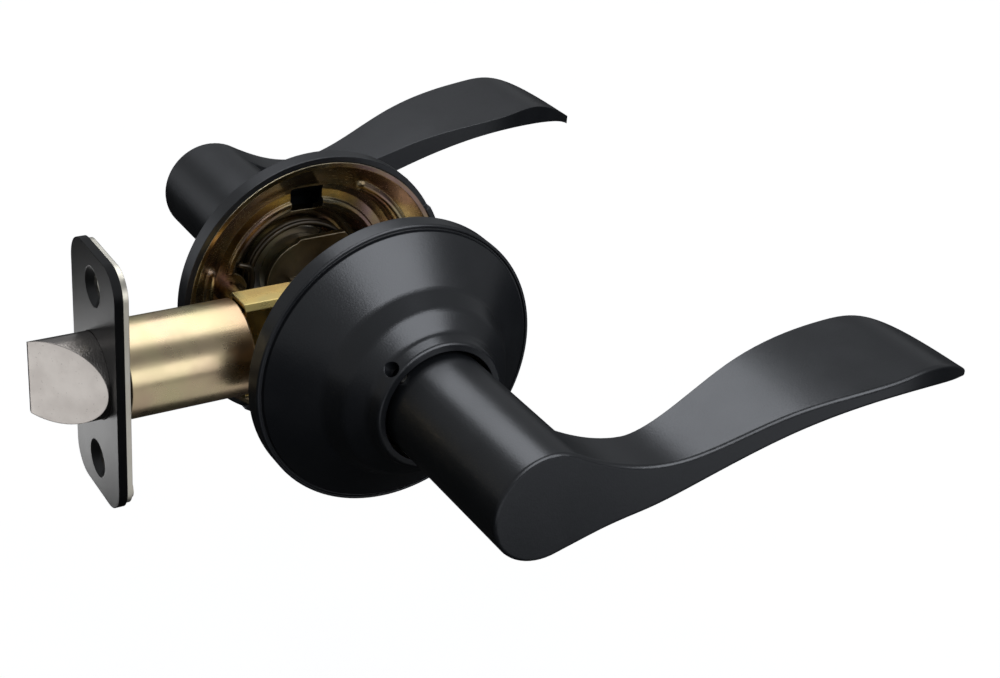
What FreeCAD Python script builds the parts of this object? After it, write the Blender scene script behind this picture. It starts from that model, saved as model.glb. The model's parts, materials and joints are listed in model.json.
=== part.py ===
"""Lever handle lockset: a passage set with two wave levers and a tubular spring latch.

Frame: origin on the spindle's axis, at the middle of the door's thickness. +Z is up, the spindle runs
along Y, the latch bolt points to -X and both levers point to +X. The front side of the lock is at -Y.
The two sides are a mirrored pair, so each part of the back side mirrors its front twin.
"depth" always means the distance from the door's face outwards, towards the room.
"""
import FreeCAD, Part
import math
import os

import Sketcher

Vector = FreeCAD.Vector
Rotation = FreeCAD.Rotation
Placement = FreeCAD.Placement

document = FreeCAD.newDocument("lever_handle_lockset")

# ------------------------------------------------------------------ driving dimensions, millimetres
DIMENSIONS = {
    # door preparation
    "door_half": 17.4625,
    "backset": 60.325,
    "screw_offset": 19.05,
    # rose
    "rose_radius": 33.35,
    "rose_wall": 1.3,
    "rim_height": 4.2,
    "groove_depth": 0.45,
    "flare_foot_radius": 31.9,
    "flare_top_radius": 22.3,
    "flare_top_depth": 12.2,
    "shoulder_radius": 19.8,
    "shoulder_depth": 16.8,
    "collar_foot_radius": 15.7,
    "collar_foot_depth": 19.9,
    "collar_radius": 14.85,
    "collar_depth": 23.15,
    "collar_bore": 13.1,
    "notch_depth": 1.8,
    "release_angle": 137.0,
    "release_depth": 21.2,
    "release_radius": 1.65,
    # mounting plate
    "plate_radius": 31.9,
    "plate_sheet": 1.2,
    "lip_width": 1.1,
    "floor_radius": 24.2,
    "floor_depth": 7.5,
    "ring_radius": 20.5,
    "well_depth": 13.0,
    "well_radius": 14.8,
    "pad_radius": 4.3,
    "head_room": 3.8,
    "screw_hole": 2.25,
    "bead_path": 26.3,
    "bead_radius": 1.8,
    "bead_depth": 4.7,
    # hub, bushing, snap ring
    "hub_radius": 8.5,
    "hub_length": 29.4,
    "drive_plate_radius": 10.5,
    "drive_plate_depth": 5.6,
    "drive_plate_thick": 1.6,
    "running_gap": 0.05,
    "bushing_wall": 2.0,
    "bushing_flange": 11.4,
    "bushing_end": 16.0,
    "snap_ring_depth": 16.1,
    "snap_ring_thick": 1.0,
    # lever
    "neck_radius": 12.11,
    "neck_depth": 17.5,
    "head_face": 82.3,
    "lever_reach": 109.7,
    "lever_bore_end": 36.0,
    "lever_edge_radius": 0.8,
    # spindle
    "spindle_radius": 5.0,
    "spindle_flat": 1.5,
    "spindle_half": 36.0,
    # catch
    "catch_radius": 2.0,
    "catch_nose_radius": 1.5,
    # latch
    "face_height": 57.15,
    "face_width": 25.4,
    "face_thick": 1.9,
    "face_corner": 6.35,
    "face_screw_half": 20.65,
    "face_screw_radius": 2.4,
    "countersink_radius": 4.35,
    "countersink_depth": 1.3,
    "backing_thick": 1.3,
    "tube_radius": 10.75,
    "tube_inner": 9.55,
    "tube_end": 28.2,
    "bolt_radius": 9.45,
    "bolt_flat": 4.7,
    "bolt_throw": 12.7,
    "case_half_width": 4.4,
    "case_half_height": 11.6,
    "case_sheet": 1.0,
    "case_end": 26.0,
    "case_flange_end": 14.5,
    "cam_hub": 6.2,
    "cam_reach": 12.3,
    "cam_rest": 31.0,
    "post_radius": 3.1,
    "screw_radius": 2.0,
}

sheet = document.addObject("Spreadsheet::Sheet", "Sizes")
for row, (alias, number) in enumerate(DIMENSIONS.items(), start=1):
    sheet.set(f"A{row}", alias)
    sheet.set(f"B{row}", str(number))
    sheet.setAlias(f"B{row}", alias)
document.recompute()


class Size:
    """A length with its value and the sheet expression that drives it."""

    def __init__(self, value, text):
        self.value = value
        self.text = text

    def __add__(self, other):
        other = as_size(other)
        return Size(self.value + other.value, f"({self.text} + {other.text})")

    def __sub__(self, other):
        other = as_size(other)
        return Size(self.value - other.value, f"({self.text} - {other.text})")

    def __mul__(self, factor):
        return Size(self.value * factor, f"({self.text} * {factor})")

    def __neg__(self):
        return self * -1

    __radd__ = __add__
    __rmul__ = __mul__

    def __rsub__(self, other):
        return as_size(other) - self


def as_size(number):
    if isinstance(number, Size):
        return number
    return Size(float(number), f"{float(number)}")


def size(alias):
    return Size(float(sheet.get(alias)), f"Sizes.{alias}")


def depth(outwards):
    """Distance from the mid plane of a point at this depth outside the door's face."""
    return size("door_half") + outwards


def drive(target, field, length):
    """Bind a property to its sheet expression, or just set it when it is a plain number."""
    length = as_size(length)
    if "Sizes" in length.text:
        target.setExpression(field, length.text)
    else:
        setattr(target, field, length.value)


# ------------------------------------------------------------------ building kit
def new_body(label):
    body = document.addObject("PartDesign::Body", label)
    body.Label = label
    return body


def origin_plane(body, role):
    for feature in body.Origin.OriginFeatures:
        if feature.Role == role:
            return feature
    raise ValueError(role)


def new_sketch(body, name, plane, offset=0.0):
    """A sketch on an origin plane of its body, moved along the plane's normal by offset.

    XZ_Plane: sketch x is X, sketch y is Z and the normal is -Y. YZ_Plane: Y, Z and +X.
    XY_Plane: X, Y and +Z.
    """
    offset = as_size(offset)
    sketch = body.newObject("Sketcher::SketchObject", name)
    sketch.AttachmentSupport = (origin_plane(body, plane), [""])
    sketch.MapMode = "FlatFace"
    sketch.AttachmentOffset = Placement(Vector(0, 0, offset.value), Rotation())
    if "Sizes" in offset.text:
        sketch.setExpression("AttachmentOffset.Base.z", offset.text)
    return sketch


def dimension(sketch, kind, *place):
    """Add a dimension whose last argument is a Size, driven by the sheet where it can be."""
    length = as_size(place[-1])
    index = sketch.addConstraint(Sketcher.Constraint(kind, *place[:-1], length.value))
    if "Sizes" in length.text:
        sketch.setExpression(f"Constraints[{index}]", length.text)


def add_polygon(sketch, corners):
    corners = [(as_size(x), as_size(y)) for x, y in corners]
    first = sketch.GeometryCount
    count = len(corners)
    for index in range(count):
        x, y = corners[index]
        next_x, next_y = corners[(index + 1) % count]
        side = Part.LineSegment(Vector(x.value, y.value, 0), Vector(next_x.value, next_y.value, 0))
        sketch.addGeometry(side)
    for index in range(count):
        following = first + (index + 1) % count
        sketch.addConstraint(Sketcher.Constraint("Coincident", first + index, 2, following, 1))
    for index, (x, y) in enumerate(corners):
        dimension(sketch, "DistanceX", first + index, 1, x)
        dimension(sketch, "DistanceY", first + index, 1, y)


def add_rectangle(sketch, left, bottom, right, top):
    add_polygon(sketch, [(left, bottom), (right, bottom), (right, top), (left, top)])


def add_circle(sketch, x, y, radius):
    x, y, radius = as_size(x), as_size(y), as_size(radius)
    circle = Part.Circle(Vector(x.value, y.value, 0), Vector(0, 0, 1), radius.value)
    index = sketch.addGeometry(circle)
    dimension(sketch, "DistanceX", index, 3, x)
    dimension(sketch, "DistanceY", index, 3, y)
    dimension(sketch, "Radius", index, radius)


def add_flat_circle(sketch, radius, flat, upright=False):
    """A circle about the origin, cut by a flat. The flat is level, or upright at positive sketch x."""
    radius, flat = as_size(radius), as_size(flat)
    half_open = math.acos(flat.value / radius.value)
    middle = 0.0 if upright else math.pi / 2
    circle = Part.Circle(Vector(0, 0, 0), Vector(0, 0, 1), radius.value)
    arc = Part.ArcOfCircle(circle, middle + half_open, middle - half_open + 2 * math.pi)
    arc_index = sketch.addGeometry(arc)
    chord_index = sketch.addGeometry(Part.LineSegment(arc.EndPoint, arc.StartPoint))
    sketch.addConstraint(Sketcher.Constraint("Coincident", arc_index, 3, -1, 1))
    sketch.addConstraint(Sketcher.Constraint("Coincident", arc_index, 2, chord_index, 1))
    sketch.addConstraint(Sketcher.Constraint("Coincident", chord_index, 2, arc_index, 1))
    dimension(sketch, "Radius", arc_index, radius)
    sketch.addConstraint(Sketcher.Constraint("Vertical" if upright else "Horizontal", chord_index))
    dimension(sketch, "DistanceX" if upright else "DistanceY", chord_index, 1, flat)


def pad(body, sketch, name, length):
    feature = body.newObject("PartDesign::Pad", name)
    feature.Profile = (sketch, [""])
    drive(feature, "Length", length)
    document.recompute()
    return feature


def cut(body, sketch, name, length):
    """A pocket along the sketch's normal; it must take something away."""
    before = body.Shape.Volume
    feature = body.newObject("PartDesign::Pocket", name)
    feature.Profile = (sketch, [""])
    feature.Reversed = True
    drive(feature, "Length", length)
    document.recompute()
    if not body.Shape.Volume < before:
        raise RuntimeError(f"{body.Label}: {name} cuts nothing")
    return feature


def revolve(body, sketch, name, axis):
    feature = body.newObject("PartDesign::Revolution", name)
    feature.Profile = (sketch, [""])
    feature.ReferenceAxis = (sketch, [axis])
    feature.Angle = 360
    document.recompute()
    return feature


def drill_radially(body, name, radius, angle, outwards, start, length):
    """Cut a round hole square to the spindle's axis, at this angle and depth outside the door."""
    before = body.Shape.Volume
    hole = body.newObject("PartDesign::SubtractiveCylinder", name)
    drive(hole, "Radius", radius)
    hole.Height = length
    hole.Placement = radial_placement(angle, outwards, start)
    document.recompute()
    if not body.Shape.Volume < before:
        raise RuntimeError(f"{body.Label}: {name} cuts nothing")
    return hole


def radial_placement(angle, outwards, start=0.0):
    """Local Z points away from the spindle's axis at this angle; start is the radius of local zero."""
    direction = Vector(math.cos(math.radians(angle)), 0, math.sin(math.radians(angle)))
    origin = direction * start + Vector(0, -depth(outwards).value, 0)
    return Placement(origin, Rotation(Vector(0, 0, 1), direction))


def edge_names(shape, test):
    return [f"Edge{number}" for number, edge in enumerate(shape.Edges, start=1) if test(edge)]


def on_circle(radius, y):
    """Test for a round edge about the spindle's axis with this radius, at this y."""

    def test(edge):
        curve = edge.Curve
        if not isinstance(curve, Part.Circle):
            return False
        on_axis = abs(curve.Center.x) < 0.01 and abs(curve.Center.z) < 0.01
        return on_axis and abs(curve.Radius - radius) < 0.02 and abs(curve.Center.y - y) < 0.02

    return test


def dress(body, kind, name, tests, amount):
    """Fillet or chamfer every edge of the body's tip that passes one of the tests."""
    names = edge_names(body.Shape, lambda edge: any(test(edge) for test in tests))
    if not names:
        raise RuntimeError(f"{body.Label}: {name} finds no edge")
    tip = body.Tip
    feature = body.newObject(f"PartDesign::{kind}", name)
    feature.Base = (tip, names)
    if kind == "Fillet":
        drive(feature, "Radius", amount)
    else:
        drive(feature, "Size", amount)
    document.recompute()
    return feature


def mirror_to_back(front, label):
    mirrored = document.addObject("Part::Mirroring", label)
    mirrored.Label = label
    mirrored.Source = front
    mirrored.Base = Vector(0, 0, 0)
    mirrored.Normal = Vector(0, 1, 0)
    return mirrored


def offset_path(points, thickness):
    """The points of an open polyline moved to its left by a sheet's thickness, with mitred corners."""
    moved = []
    for index, (x, y) in enumerate(points):
        normals = []
        for start, end in ((index - 1, index), (index, index + 1)):
            if start < 0 or end >= len(points):
                continue
            run_x = points[end][0] - points[start][0]
            run_y = points[end][1] - points[start][1]
            length = math.hypot(run_x, run_y)
            normals.append((-run_y / length, run_x / length))
        normal_x = sum(normal[0] for normal in normals) / len(normals)
        normal_y = sum(normal[1] for normal in normals) / len(normals)
        stretch = thickness / (normal_x ** 2 + normal_y ** 2)
        moved.append((x + normal_x * stretch, y + normal_y * stretch))
    return moved


def wire_coil(label, points, wire_radius, placement=None):
    """A spring of round wire along a smooth curve through the points."""
    path = Part.BSplineCurve()
    path.interpolate(points)
    start_direction = path.tangent(path.FirstParameter)[0]
    ring = Part.Wire(Part.Circle(points[0], start_direction, wire_radius).toShape())
    shape = Part.Wire(path.toShape()).makePipeShell([ring], True, True)
    spring = document.addObject("Part::Feature", label)
    spring.Label = label
    spring.Shape = shape
    if placement is not None:
        spring.Placement = placement
    return spring


nodes = []


# ------------------------------------------------------------------ rose
def build_rose():
    body = new_body("front_rose")
    radius = size("rose_radius")
    rim = size("rim_height")
    groove = size("groove_depth")
    wall = size("rose_wall")
    foot = size("flare_foot_radius")
    outline = [
        (radius, 0.0),
        (radius, rim - 0.3),
        (radius - 0.3, rim),
        (foot + 0.8, rim),
        (foot + 0.6, rim - groove),
        (foot + 0.2, rim - groove),
        (foot, rim + 0.4),
        (size("flare_top_radius"), size("flare_top_depth")),
        (size("shoulder_radius"), size("shoulder_depth")),
        (size("collar_foot_radius"), size("collar_foot_depth")),
        (size("collar_radius"), size("collar_depth")),
        (size("collar_bore"), size("collar_depth")),
        (size("collar_bore"), size("shoulder_depth") + 0.3),
        (size("collar_foot_radius") + 0.9, size("shoulder_depth") + 0.3),
        (size("shoulder_radius") - 0.9, size("shoulder_depth") - wall),
        (size("flare_top_radius") - 0.8, size("flare_top_depth") - wall),
        (radius - wall, rim - 0.9),
        (radius - wall, 0.0),
    ]
    profile = new_sketch(body, "RoseProfile", "XY_Plane")
    add_polygon(profile, [(r, -depth(w)) for r, w in outline])
    revolve(body, profile, "RoseShell", "V_Axis")

    def at(alias_radius, alias_depth):
        return on_circle(size(alias_radius).value, -depth(size(alias_depth)).value)

    dress(body, "Fillet", "CollarFoot", [at("collar_foot_radius", "collar_foot_depth")], 2.0)
    dress(body, "Fillet", "Shoulder", [at("shoulder_radius", "shoulder_depth")], 3.0)
    dress(body, "Fillet", "Crease", [at("flare_top_radius", "flare_top_depth")], 2.6)
    dress(body, "Fillet", "CollarLip", [at("collar_radius", "collar_depth")], 0.8)

    notches = new_sketch(body, "PryNotches", "XZ_Plane", size("door_half"))
    for middle in (39.0, 228.0):
        corners = []
        for reach, turn in ((30.0, -9.0), (36.0, -9.0), (36.0, 9.0), (30.0, 9.0)):
            angle = math.radians(middle + turn)
            corners.append((reach * math.cos(angle), reach * math.sin(angle)))
        add_polygon(notches, corners)
    cut(body, notches, "PryNotchCut", size("notch_depth"))
    angle = size("release_angle").value
    drill_radially(body, "ReleaseHole", size("release_radius"), angle, size("release_depth"), 11.0, 9.0)
    return body


# ------------------------------------------------------------------ mounting plate
def build_mounting_plate():
    body = new_body("front_mounting_plate")
    lip = size("plate_radius")
    floor = size("floor_depth")
    well = size("well_radius")
    bore = size("hub_radius") + size("running_gap") + size("bushing_wall")
    ring = size("ring_radius")
    dish = [
        (lip, as_size(0.0)),
        (lip - size("lip_width"), as_size(0.0)),
        (size("floor_radius"), floor - 0.9),
        (size("floor_radius") - 1.6, floor),
    ]
    bend = [(ring - 1.2, floor), (ring - 3.2, floor + 1.5), (ring - 4.0, floor + 3.2)]
    collar = [
        (ring, floor),
        (ring, floor - 0.4),
        (ring - 0.3, floor - 0.7),
        (ring - 1.1, floor - 0.85),
        (ring - 2.0, floor - 0.5),
        (ring - 2.9, floor + 0.4),
        (ring - 3.6, floor + 1.7),
        (ring - 4.0, floor + 3.2),
    ]
    cup = [(well, floor + 3.9), (well, size("well_depth")), (bore, size("well_depth"))]
    sheet_line = dish + bend + cup
    numbers = [(r.value, w.value) for r, w in sheet_line]
    room_side = offset_path(numbers, -size("plate_sheet").value)
    shifts = [(room[0] - door[0], room[1] - door[1]) for room, door in zip(room_side, numbers)]
    shifts[0] = (0.0, size("plate_sheet").value)
    outline = dish + collar + cup
    for (r, w), (shift_r, shift_w) in reversed(list(zip(sheet_line, shifts))):
        outline.append((r + shift_r, w + shift_w))
    profile = new_sketch(body, "PlateProfile", "XY_Plane")
    add_polygon(profile, [(r, -depth(w)) for r, w in outline])
    revolve(body, profile, "PlateSheet", "V_Axis")

    flats = new_sketch(body, "ScrewFlats", "XZ_Plane", depth(floor - 1.2))
    for side in (-1, 1):
        add_circle(flats, side * size("screw_offset"), 0.0, size("pad_radius") + 0.3)
    cut(body, flats, "ScrewFlatCut", 1.2)
    pads = new_sketch(body, "ScrewPads", "XZ_Plane", depth(floor))
    for side in (-1, 1):
        add_circle(pads, side * size("screw_offset"), 0.0, size("pad_radius"))
    pad(body, pads, "ScrewPadDiscs", size("plate_sheet"))

    head_rooms = new_sketch(body, "HeadRooms", "XZ_Plane", depth(floor + size("plate_sheet")))
    for side in (-1, 1):
        add_circle(head_rooms, side * size("screw_offset"), 0.0, size("head_room"))
    cut(body, head_rooms, "HeadRoomCut", 4.0)

    # two arc beads, rolled towards the door on the plate's sloping wall
    bead_angle = 77.0
    bead_y = -depth(size("bead_depth")).value
    for start_angle in (-15.0, 165.0):
        bead = body.newObject("PartDesign::AdditiveTorus", "Bead")
        drive(bead, "Radius1", size("bead_path"))
        drive(bead, "Radius2", size("bead_radius"))
        bead.Angle3 = bead_angle
        turned = Rotation(Vector(1, 0, 0), 90)
        bead.Placement = Placement(
            Vector(0, bead_y, 0), Rotation(Vector(0, 1, 0), -start_angle) * turned
        )
        document.recompute()
        for end in (start_angle, start_angle + bead_angle):
            knob = body.newObject("PartDesign::AdditiveSphere", "BeadEnd")
            drive(knob, "Radius", size("bead_radius"))
            reach = size("bead_path").value
            place = Vector(reach * math.cos(math.radians(end)), bead_y, reach * math.sin(math.radians(end)))
            knob.Placement = Placement(place, Rotation())
            document.recompute()

    # a bent stop finger, which the hub's ear comes up to at the end of its turn
    direction = Rotation(Vector(0, 1, 0), 26.0)
    leg = body.newObject("PartDesign::AdditiveBox", "StopLeg")
    leg.Length, leg.Width, leg.Height = 1.2, 6.3, 2.6
    leg.Placement = Placement(direction.multVec(Vector(15.6, -depth(11.6).value, -1.3)), direction)
    document.recompute()
    finger = body.newObject("PartDesign::AdditiveBox", "StopFinger")
    finger.Length, finger.Width, finger.Height = 3.4, 1.6, 2.6
    finger.Placement = Placement(direction.multVec(Vector(13.4, -depth(6.9).value, -1.3)), direction)
    document.recompute()

    holes = new_sketch(body, "PlateHoles", "XZ_Plane", depth(-1.0))
    for side in (-1, 1):
        add_circle(holes, side * size("screw_offset"), 0.0, size("screw_hole"))
    add_rectangle(holes, -4.1, 15.9, 3.9, 23.4)
    slot_angle = math.radians(161.0)
    slot_x = 17.3 * math.cos(slot_angle)
    slot_z = 17.3 * math.sin(slot_angle)
    add_rectangle(holes, slot_x - 1.5, slot_z - 1.5, slot_x + 1.5, slot_z + 1.5)
    cut(body, holes, "PlateHoleCut", 18.0)
    return body


# ------------------------------------------------------------------ bushing, hub, snap ring
def build_hub_bushing():
    body = new_body("front_hub_bushing")
    inner = size("hub_radius") + size("running_gap")
    outer = inner + size("bushing_wall") - 0.02
    flange = size("bushing_flange")
    seat = size("well_depth")
    profile = new_sketch(body, "BushingProfile", "XY_Plane")
    outline = [
        (inner, seat - 1.2),
        (flange, seat - 1.2),
        (flange, seat),
        (outer, seat),
        (outer, size("bushing_end")),
        (inner, size("bushing_end")),
    ]
    add_polygon(profile, [(r, -depth(w)) for r, w in outline])
    revolve(body, profile, "BushingSleeve", "V_Axis")
    return body


def build_lever_hub():
    body = new_body("front_lever_hub")
    plate_start = size("drive_plate_depth")
    plate_thick = size("drive_plate_thick")
    shoulder_end = size("well_depth") - 1.3
    radius = size("hub_radius")
    snap = size("snap_ring_depth")
    outline = [
        (0.0, plate_start),
        (size("drive_plate_radius"), plate_start),
        (size("drive_plate_radius"), plate_start + plate_thick),
        (radius + 1.1, plate_start + plate_thick),
        (radius + 1.1, shoulder_end),
        (radius, shoulder_end),
        (radius, snap),
        (radius - 0.6, snap),
        (radius - 0.6, snap + size("snap_ring_thick") + 0.05),
        (radius, snap + size("snap_ring_thick") + 0.05),
        (radius, plate_start + size("hub_length")),
        (0.0, plate_start + size("hub_length")),
    ]
    profile = new_sketch(body, "HubProfile", "XY_Plane")
    add_polygon(profile, [(r, -depth(w)) for r, w in outline])
    revolve(body, profile, "HubBar", "V_Axis")

    # the drive plate's flat top and ear, and the lug under it that turns the spring's leg
    ear = new_sketch(body, "EarOutline", "XZ_Plane", depth(plate_start))
    add_polygon(ear, [(-3.4, 9.8), (-2.0, 10.9), (9.4, 11.1), (10.3, 9.9), (6.6, 5.0), (-3.4, 5.0)])
    pad(body, ear, "Ear", plate_thick)
    lug = new_sketch(body, "LugOutline", "XZ_Plane", depth(plate_start))
    corners = []
    for reach, turn in ((7.0, 59.0), (11.6, 56.0), (11.6, 44.0), (7.0, 41.0)):
        angle = math.radians(turn)
        corners.append((reach * math.cos(angle), reach * math.sin(angle)))
    add_polygon(lug, corners)
    pad(body, lug, "Lug", shoulder_end - plate_start - 0.2)

    bore = new_sketch(body, "SpindleBore", "XZ_Plane", depth(plate_start - 1.0))
    gap = size("running_gap")
    add_flat_circle(bore, size("spindle_radius") + gap, size("spindle_flat") + gap)
    cut(body, bore, "SpindleBoreCut", size("spindle_half") - depth(plate_start - 1.0) + 0.4)
    angle = size("release_angle").value
    radius = size("catch_radius") + size("running_gap")
    drill_radially(body, "CatchHole", radius, angle, size("release_depth"), -5.2, 20.0)
    return body


def build_snap_ring():
    body = new_body("front_snap_ring")
    start = size("snap_ring_depth") + 0.02
    inner = size("hub_radius") - 0.55
    outer = size("hub_radius") + 1.7
    ring = new_sketch(body, "RingOutline", "XZ_Plane", depth(start))
    add_circle(ring, 0.0, 0.0, outer)
    add_circle(ring, 0.0, 0.0, inner)
    pad(body, ring, "RingDisc", size("snap_ring_thick"))
    mouth = new_sketch(body, "RingMouth", "XZ_Plane", depth(start))
    add_polygon(mouth, [(0.0, 0.0), (-6.0, -14.0), (6.0, -14.0)])
    cut(body, mouth, "RingMouthCut", size("snap_ring_thick"))
    return body


# ------------------------------------------------------------------ springs of the two handles
def build_return_spring():
    """Torsion coil in the plate's well: one leg hooks the plate, the other meets the hub's lug."""
    coil_radius = 13.25
    wire_radius = 0.65
    first_depth = 8.35
    last_depth = 12.1
    start_angle = 161.0
    turns = 2.68
    points = []
    for reach, outwards in ((17.3, 11.2), (17.3, 10.0), (17.1, 8.9), (16.2, 8.4), (14.9, 8.33)):
        points.append((reach, start_angle, outwards))
    steps = 64
    for step in range(steps + 1):
        share = step / steps
        angle = start_angle + 8.0 + 360.0 * turns * share
        points.append((coil_radius, angle, first_depth + (last_depth - first_depth) * share))
    end_angle = start_angle + 8.0 + 360.0 * turns
    points.append((12.7, end_angle + 6.0, last_depth - 0.3))
    points.append((11.5, end_angle + 9.0, last_depth - 0.9))
    vectors = []
    for reach, angle, outwards in points:
        turn = math.radians(angle)
        vectors.append(Vector(reach * math.cos(turn), -depth(outwards).value, reach * math.sin(turn)))
    return wire_coil("front_return_spring", vectors, wire_radius)


def compression_points(radius, length, turns):
    """A coil along +Z with one closed turn at each end."""
    steps_per_turn = 20
    steps = int(turns * steps_per_turn)
    closed = 1.0
    wire = 0.08 * length / turns
    points = []
    for step in range(steps + 1):
        turn = step / steps_per_turn
        active = min(max(turn - closed, 0.0), turns - 2 * closed) / (turns - 2 * closed)
        ends = min(turn, closed) + max(turn - turns + closed, 0.0)
        height = ends * wire * 4 + active * (length - 8 * wire)
        angle = 2 * math.pi * turn
        points.append(Vector(radius * math.cos(angle), radius * math.sin(angle), height))
    return points


def build_catch_spring():
    points = compression_points(1.45, 3.7, 5.0)
    angle = size("release_angle").value
    placement = radial_placement(angle, size("release_depth"), -4.8)
    return wire_coil("front_catch_spring", points, 0.22, placement)


def build_lever_catch():
    body = new_body("front_lever_catch")
    profile = new_sketch(body, "CatchProfile", "XZ_Plane")
    radius = size("catch_radius")
    nose = size("catch_nose_radius")
    outline = [
        (0.0, -0.6),
        (radius, -0.6),
        (radius, 7.6),
        (nose, 7.9),
        (nose, 11.0),
        (nose - 0.5, 11.5),
        (0.0, 11.5),
    ]
    add_polygon(profile, outline)
    revolve(body, profile, "CatchPin", "V_Axis")
    body.Placement = radial_placement(size("release_angle").value, size("release_depth"))
    return body


# ------------------------------------------------------------------ lever
def smooth_curve(points, start_direction=None, end_direction=None):
    curve = Part.BSplineCurve()
    vectors = [Vector(x, y, 0) for x, y in points]
    if start_direction is None:
        curve.interpolate(vectors)
    else:
        curve.interpolate(
            Points=vectors,
            InitialTangent=Vector(*start_direction, 0),
            FinalTangent=Vector(*end_direction, 0),
        )
    return curve


def closed_outline(label, curves):
    """A sketch whose outline is these curves in order, each held where it is."""
    sketch = document.addObject("Sketcher::SketchObject", label)
    for curve in curves:
        index = sketch.addGeometry(curve)
        sketch.addConstraint(Sketcher.Constraint("Block", index))
    return sketch


def build_lever():
    """The wave paddle is where its front-view outline and its top-view leaf outline meet."""
    neck = size("neck_radius").value
    reach = size("lever_reach").value
    face = size("head_face").value
    edge_radius = size("lever_edge_radius").value
    top_start = math.radians(60.0)
    low_start = math.radians(-75.0)
    top_foot = (neck * math.cos(top_start), neck * math.sin(top_start))
    low_foot = (neck * math.cos(low_start), neck * math.sin(low_start))
    dip = (0.25 * reach, 3.8)
    rise = (0.5 * reach, 11.8)
    crest = (0.73 * reach, 15.8)
    tip_top = (reach, 6.1)
    tip_low = (reach, 3.8)
    under_crest = (0.75 * reach, 11.8)
    under_rise = (0.5 * reach, 6.4)
    under_dip = (0.25 * reach, -5.4)
    top = smooth_curve([top_foot, dip, rise, crest, tip_top], (0.87, -0.5), (0.83, -0.56))
    under = [tip_low, under_crest, under_rise, under_dip, low_foot]
    low = smooth_curve(under, (-0.84, 0.54), (-0.97, -0.26))
    side = closed_outline("LeverSideOutline", [
        top,
        Part.LineSegment(Vector(*tip_top, 0), Vector(*tip_low, 0)),
        low,
        Part.LineSegment(Vector(*low_foot, 0), Vector(*top_foot, 0)),
    ])
    side.Placement = Placement(Vector(0, 0, 0), Rotation(Vector(1, 0, 0), 90))

    inner = face - 10.5
    outer_start = (neck, -face)
    outer = smooth_curve(
        [outer_start, (0.27 * reach, -face - 1.7), (0.5 * reach, -face - 6.3), (0.74 * reach, -face - 9.9),
         (0.9 * reach, -face - 6.3), (reach, -face + 0.5)],
        (1.0, 0.0), (0.8, 0.6),
    )
    inside = smooth_curve(
        [(reach, -face + 2.9), (0.875 * reach, -inner + 2.4), (0.75 * reach, -inner + 7.0),
         (0.62 * reach, -inner + 7.4), (0.5 * reach, -inner + 5.9), (0.25 * reach, -inner + 1.2),
         (0.0, -inner)],
        (-0.75, 0.66), (-1.0, -0.04),
    )
    behind = -2.0 * neck
    leaf = closed_outline("LeverLeafOutline", [
        Part.LineSegment(Vector(behind, -face, 0), Vector(neck, -face, 0)),
        outer,
        Part.LineSegment(Vector(reach, -face + 0.5, 0), Vector(reach, -face + 2.9, 0)),
        inside,
        Part.LineSegment(Vector(0.0, -inner, 0), Vector(behind, -inner, 0)),
        Part.LineSegment(Vector(behind, -inner, 0), Vector(behind, -face, 0)),
    ])
    leaf.Placement = Placement(Vector(0, 0, -40.0), Rotation())
    document.recompute()

    side_prism = document.addObject("Part::Extrusion", "LeverSidePrism")
    side_prism.Base = side
    side_prism.DirMode = "Custom"
    side_prism.Dir = Vector(0, -1, 0)
    side_prism.LengthFwd = 120.0
    side_prism.Solid = True
    leaf_prism = document.addObject("Part::Extrusion", "LeverLeafPrism")
    leaf_prism.Base = leaf
    leaf_prism.DirMode = "Custom"
    leaf_prism.Dir = Vector(0, 0, 1)
    leaf_prism.LengthFwd = 80.0
    leaf_prism.Solid = True
    document.recompute()
    paddle = document.addObject("Part::Common", "LeverPaddle")
    paddle.Base = side_prism
    paddle.Tool = leaf_prism

    neck_bar = document.addObject("Part::Cylinder", "LeverNeck")
    drive(neck_bar, "Radius", size("neck_radius"))
    drive(neck_bar, "Height", size("head_face") - depth(size("neck_depth")))
    along_depth = Rotation(Vector(1, 0, 0), 90)
    neck_bar.Placement = Placement(Vector(0, -depth(size("neck_depth")).value, 0), along_depth)
    solid = document.addObject("Part::Fuse", "LeverSolid")
    solid.Base = neck_bar
    solid.Tool = paddle
    solid.Refine = True

    bore = document.addObject("Part::Cylinder", "LeverBore")
    drive(bore, "Radius", size("hub_radius") + size("running_gap"))
    drive(bore, "Height", size("lever_bore_end") - size("neck_depth") + 1.0)
    bore.Placement = Placement(Vector(0, -depth(size("neck_depth") - 1.0).value, 0), along_depth)
    window = document.addObject("Part::Cylinder", "LeverWindow")
    drive(window, "Radius", size("catch_nose_radius") + 0.1)
    window.Height = 8.0
    window.Placement = radial_placement(size("release_angle").value, size("release_depth"), 6.0)
    openings = document.addObject("Part::Fuse", "LeverOpenings")
    openings.Base = bore
    openings.Tool = window
    sharp = document.addObject("Part::Cut", "LeverSharp")
    sharp.Base = solid
    sharp.Tool = openings
    document.recompute()

    def is_outer_rim(edge):
        """The rim of the outer face, all of it curved; the straight edges there are seams."""
        return edge.BoundBox.YMax < 1.0 - face and not isinstance(edge.Curve, Part.Line)

    rim = [number for number, edge in enumerate(sharp.Shape.Edges, start=1) if is_outer_rim(edge)]
    lever = document.addObject("Part::Fillet", "front_lever")
    lever.Label = "front_lever"
    lever.Base = sharp
    lever.Edges = [(number, edge_radius, edge_radius) for number in rim]
    return lever


# ------------------------------------------------------------------ spindle, posts and screws
def build_spindle():
    body = new_body("spindle")
    half = size("spindle_half")
    section = new_sketch(body, "SpindleSection", "XZ_Plane", -half)
    add_flat_circle(section, size("spindle_radius"), size("spindle_flat"))
    pad(body, section, "SpindleBar", half * 2)
    return body


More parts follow.
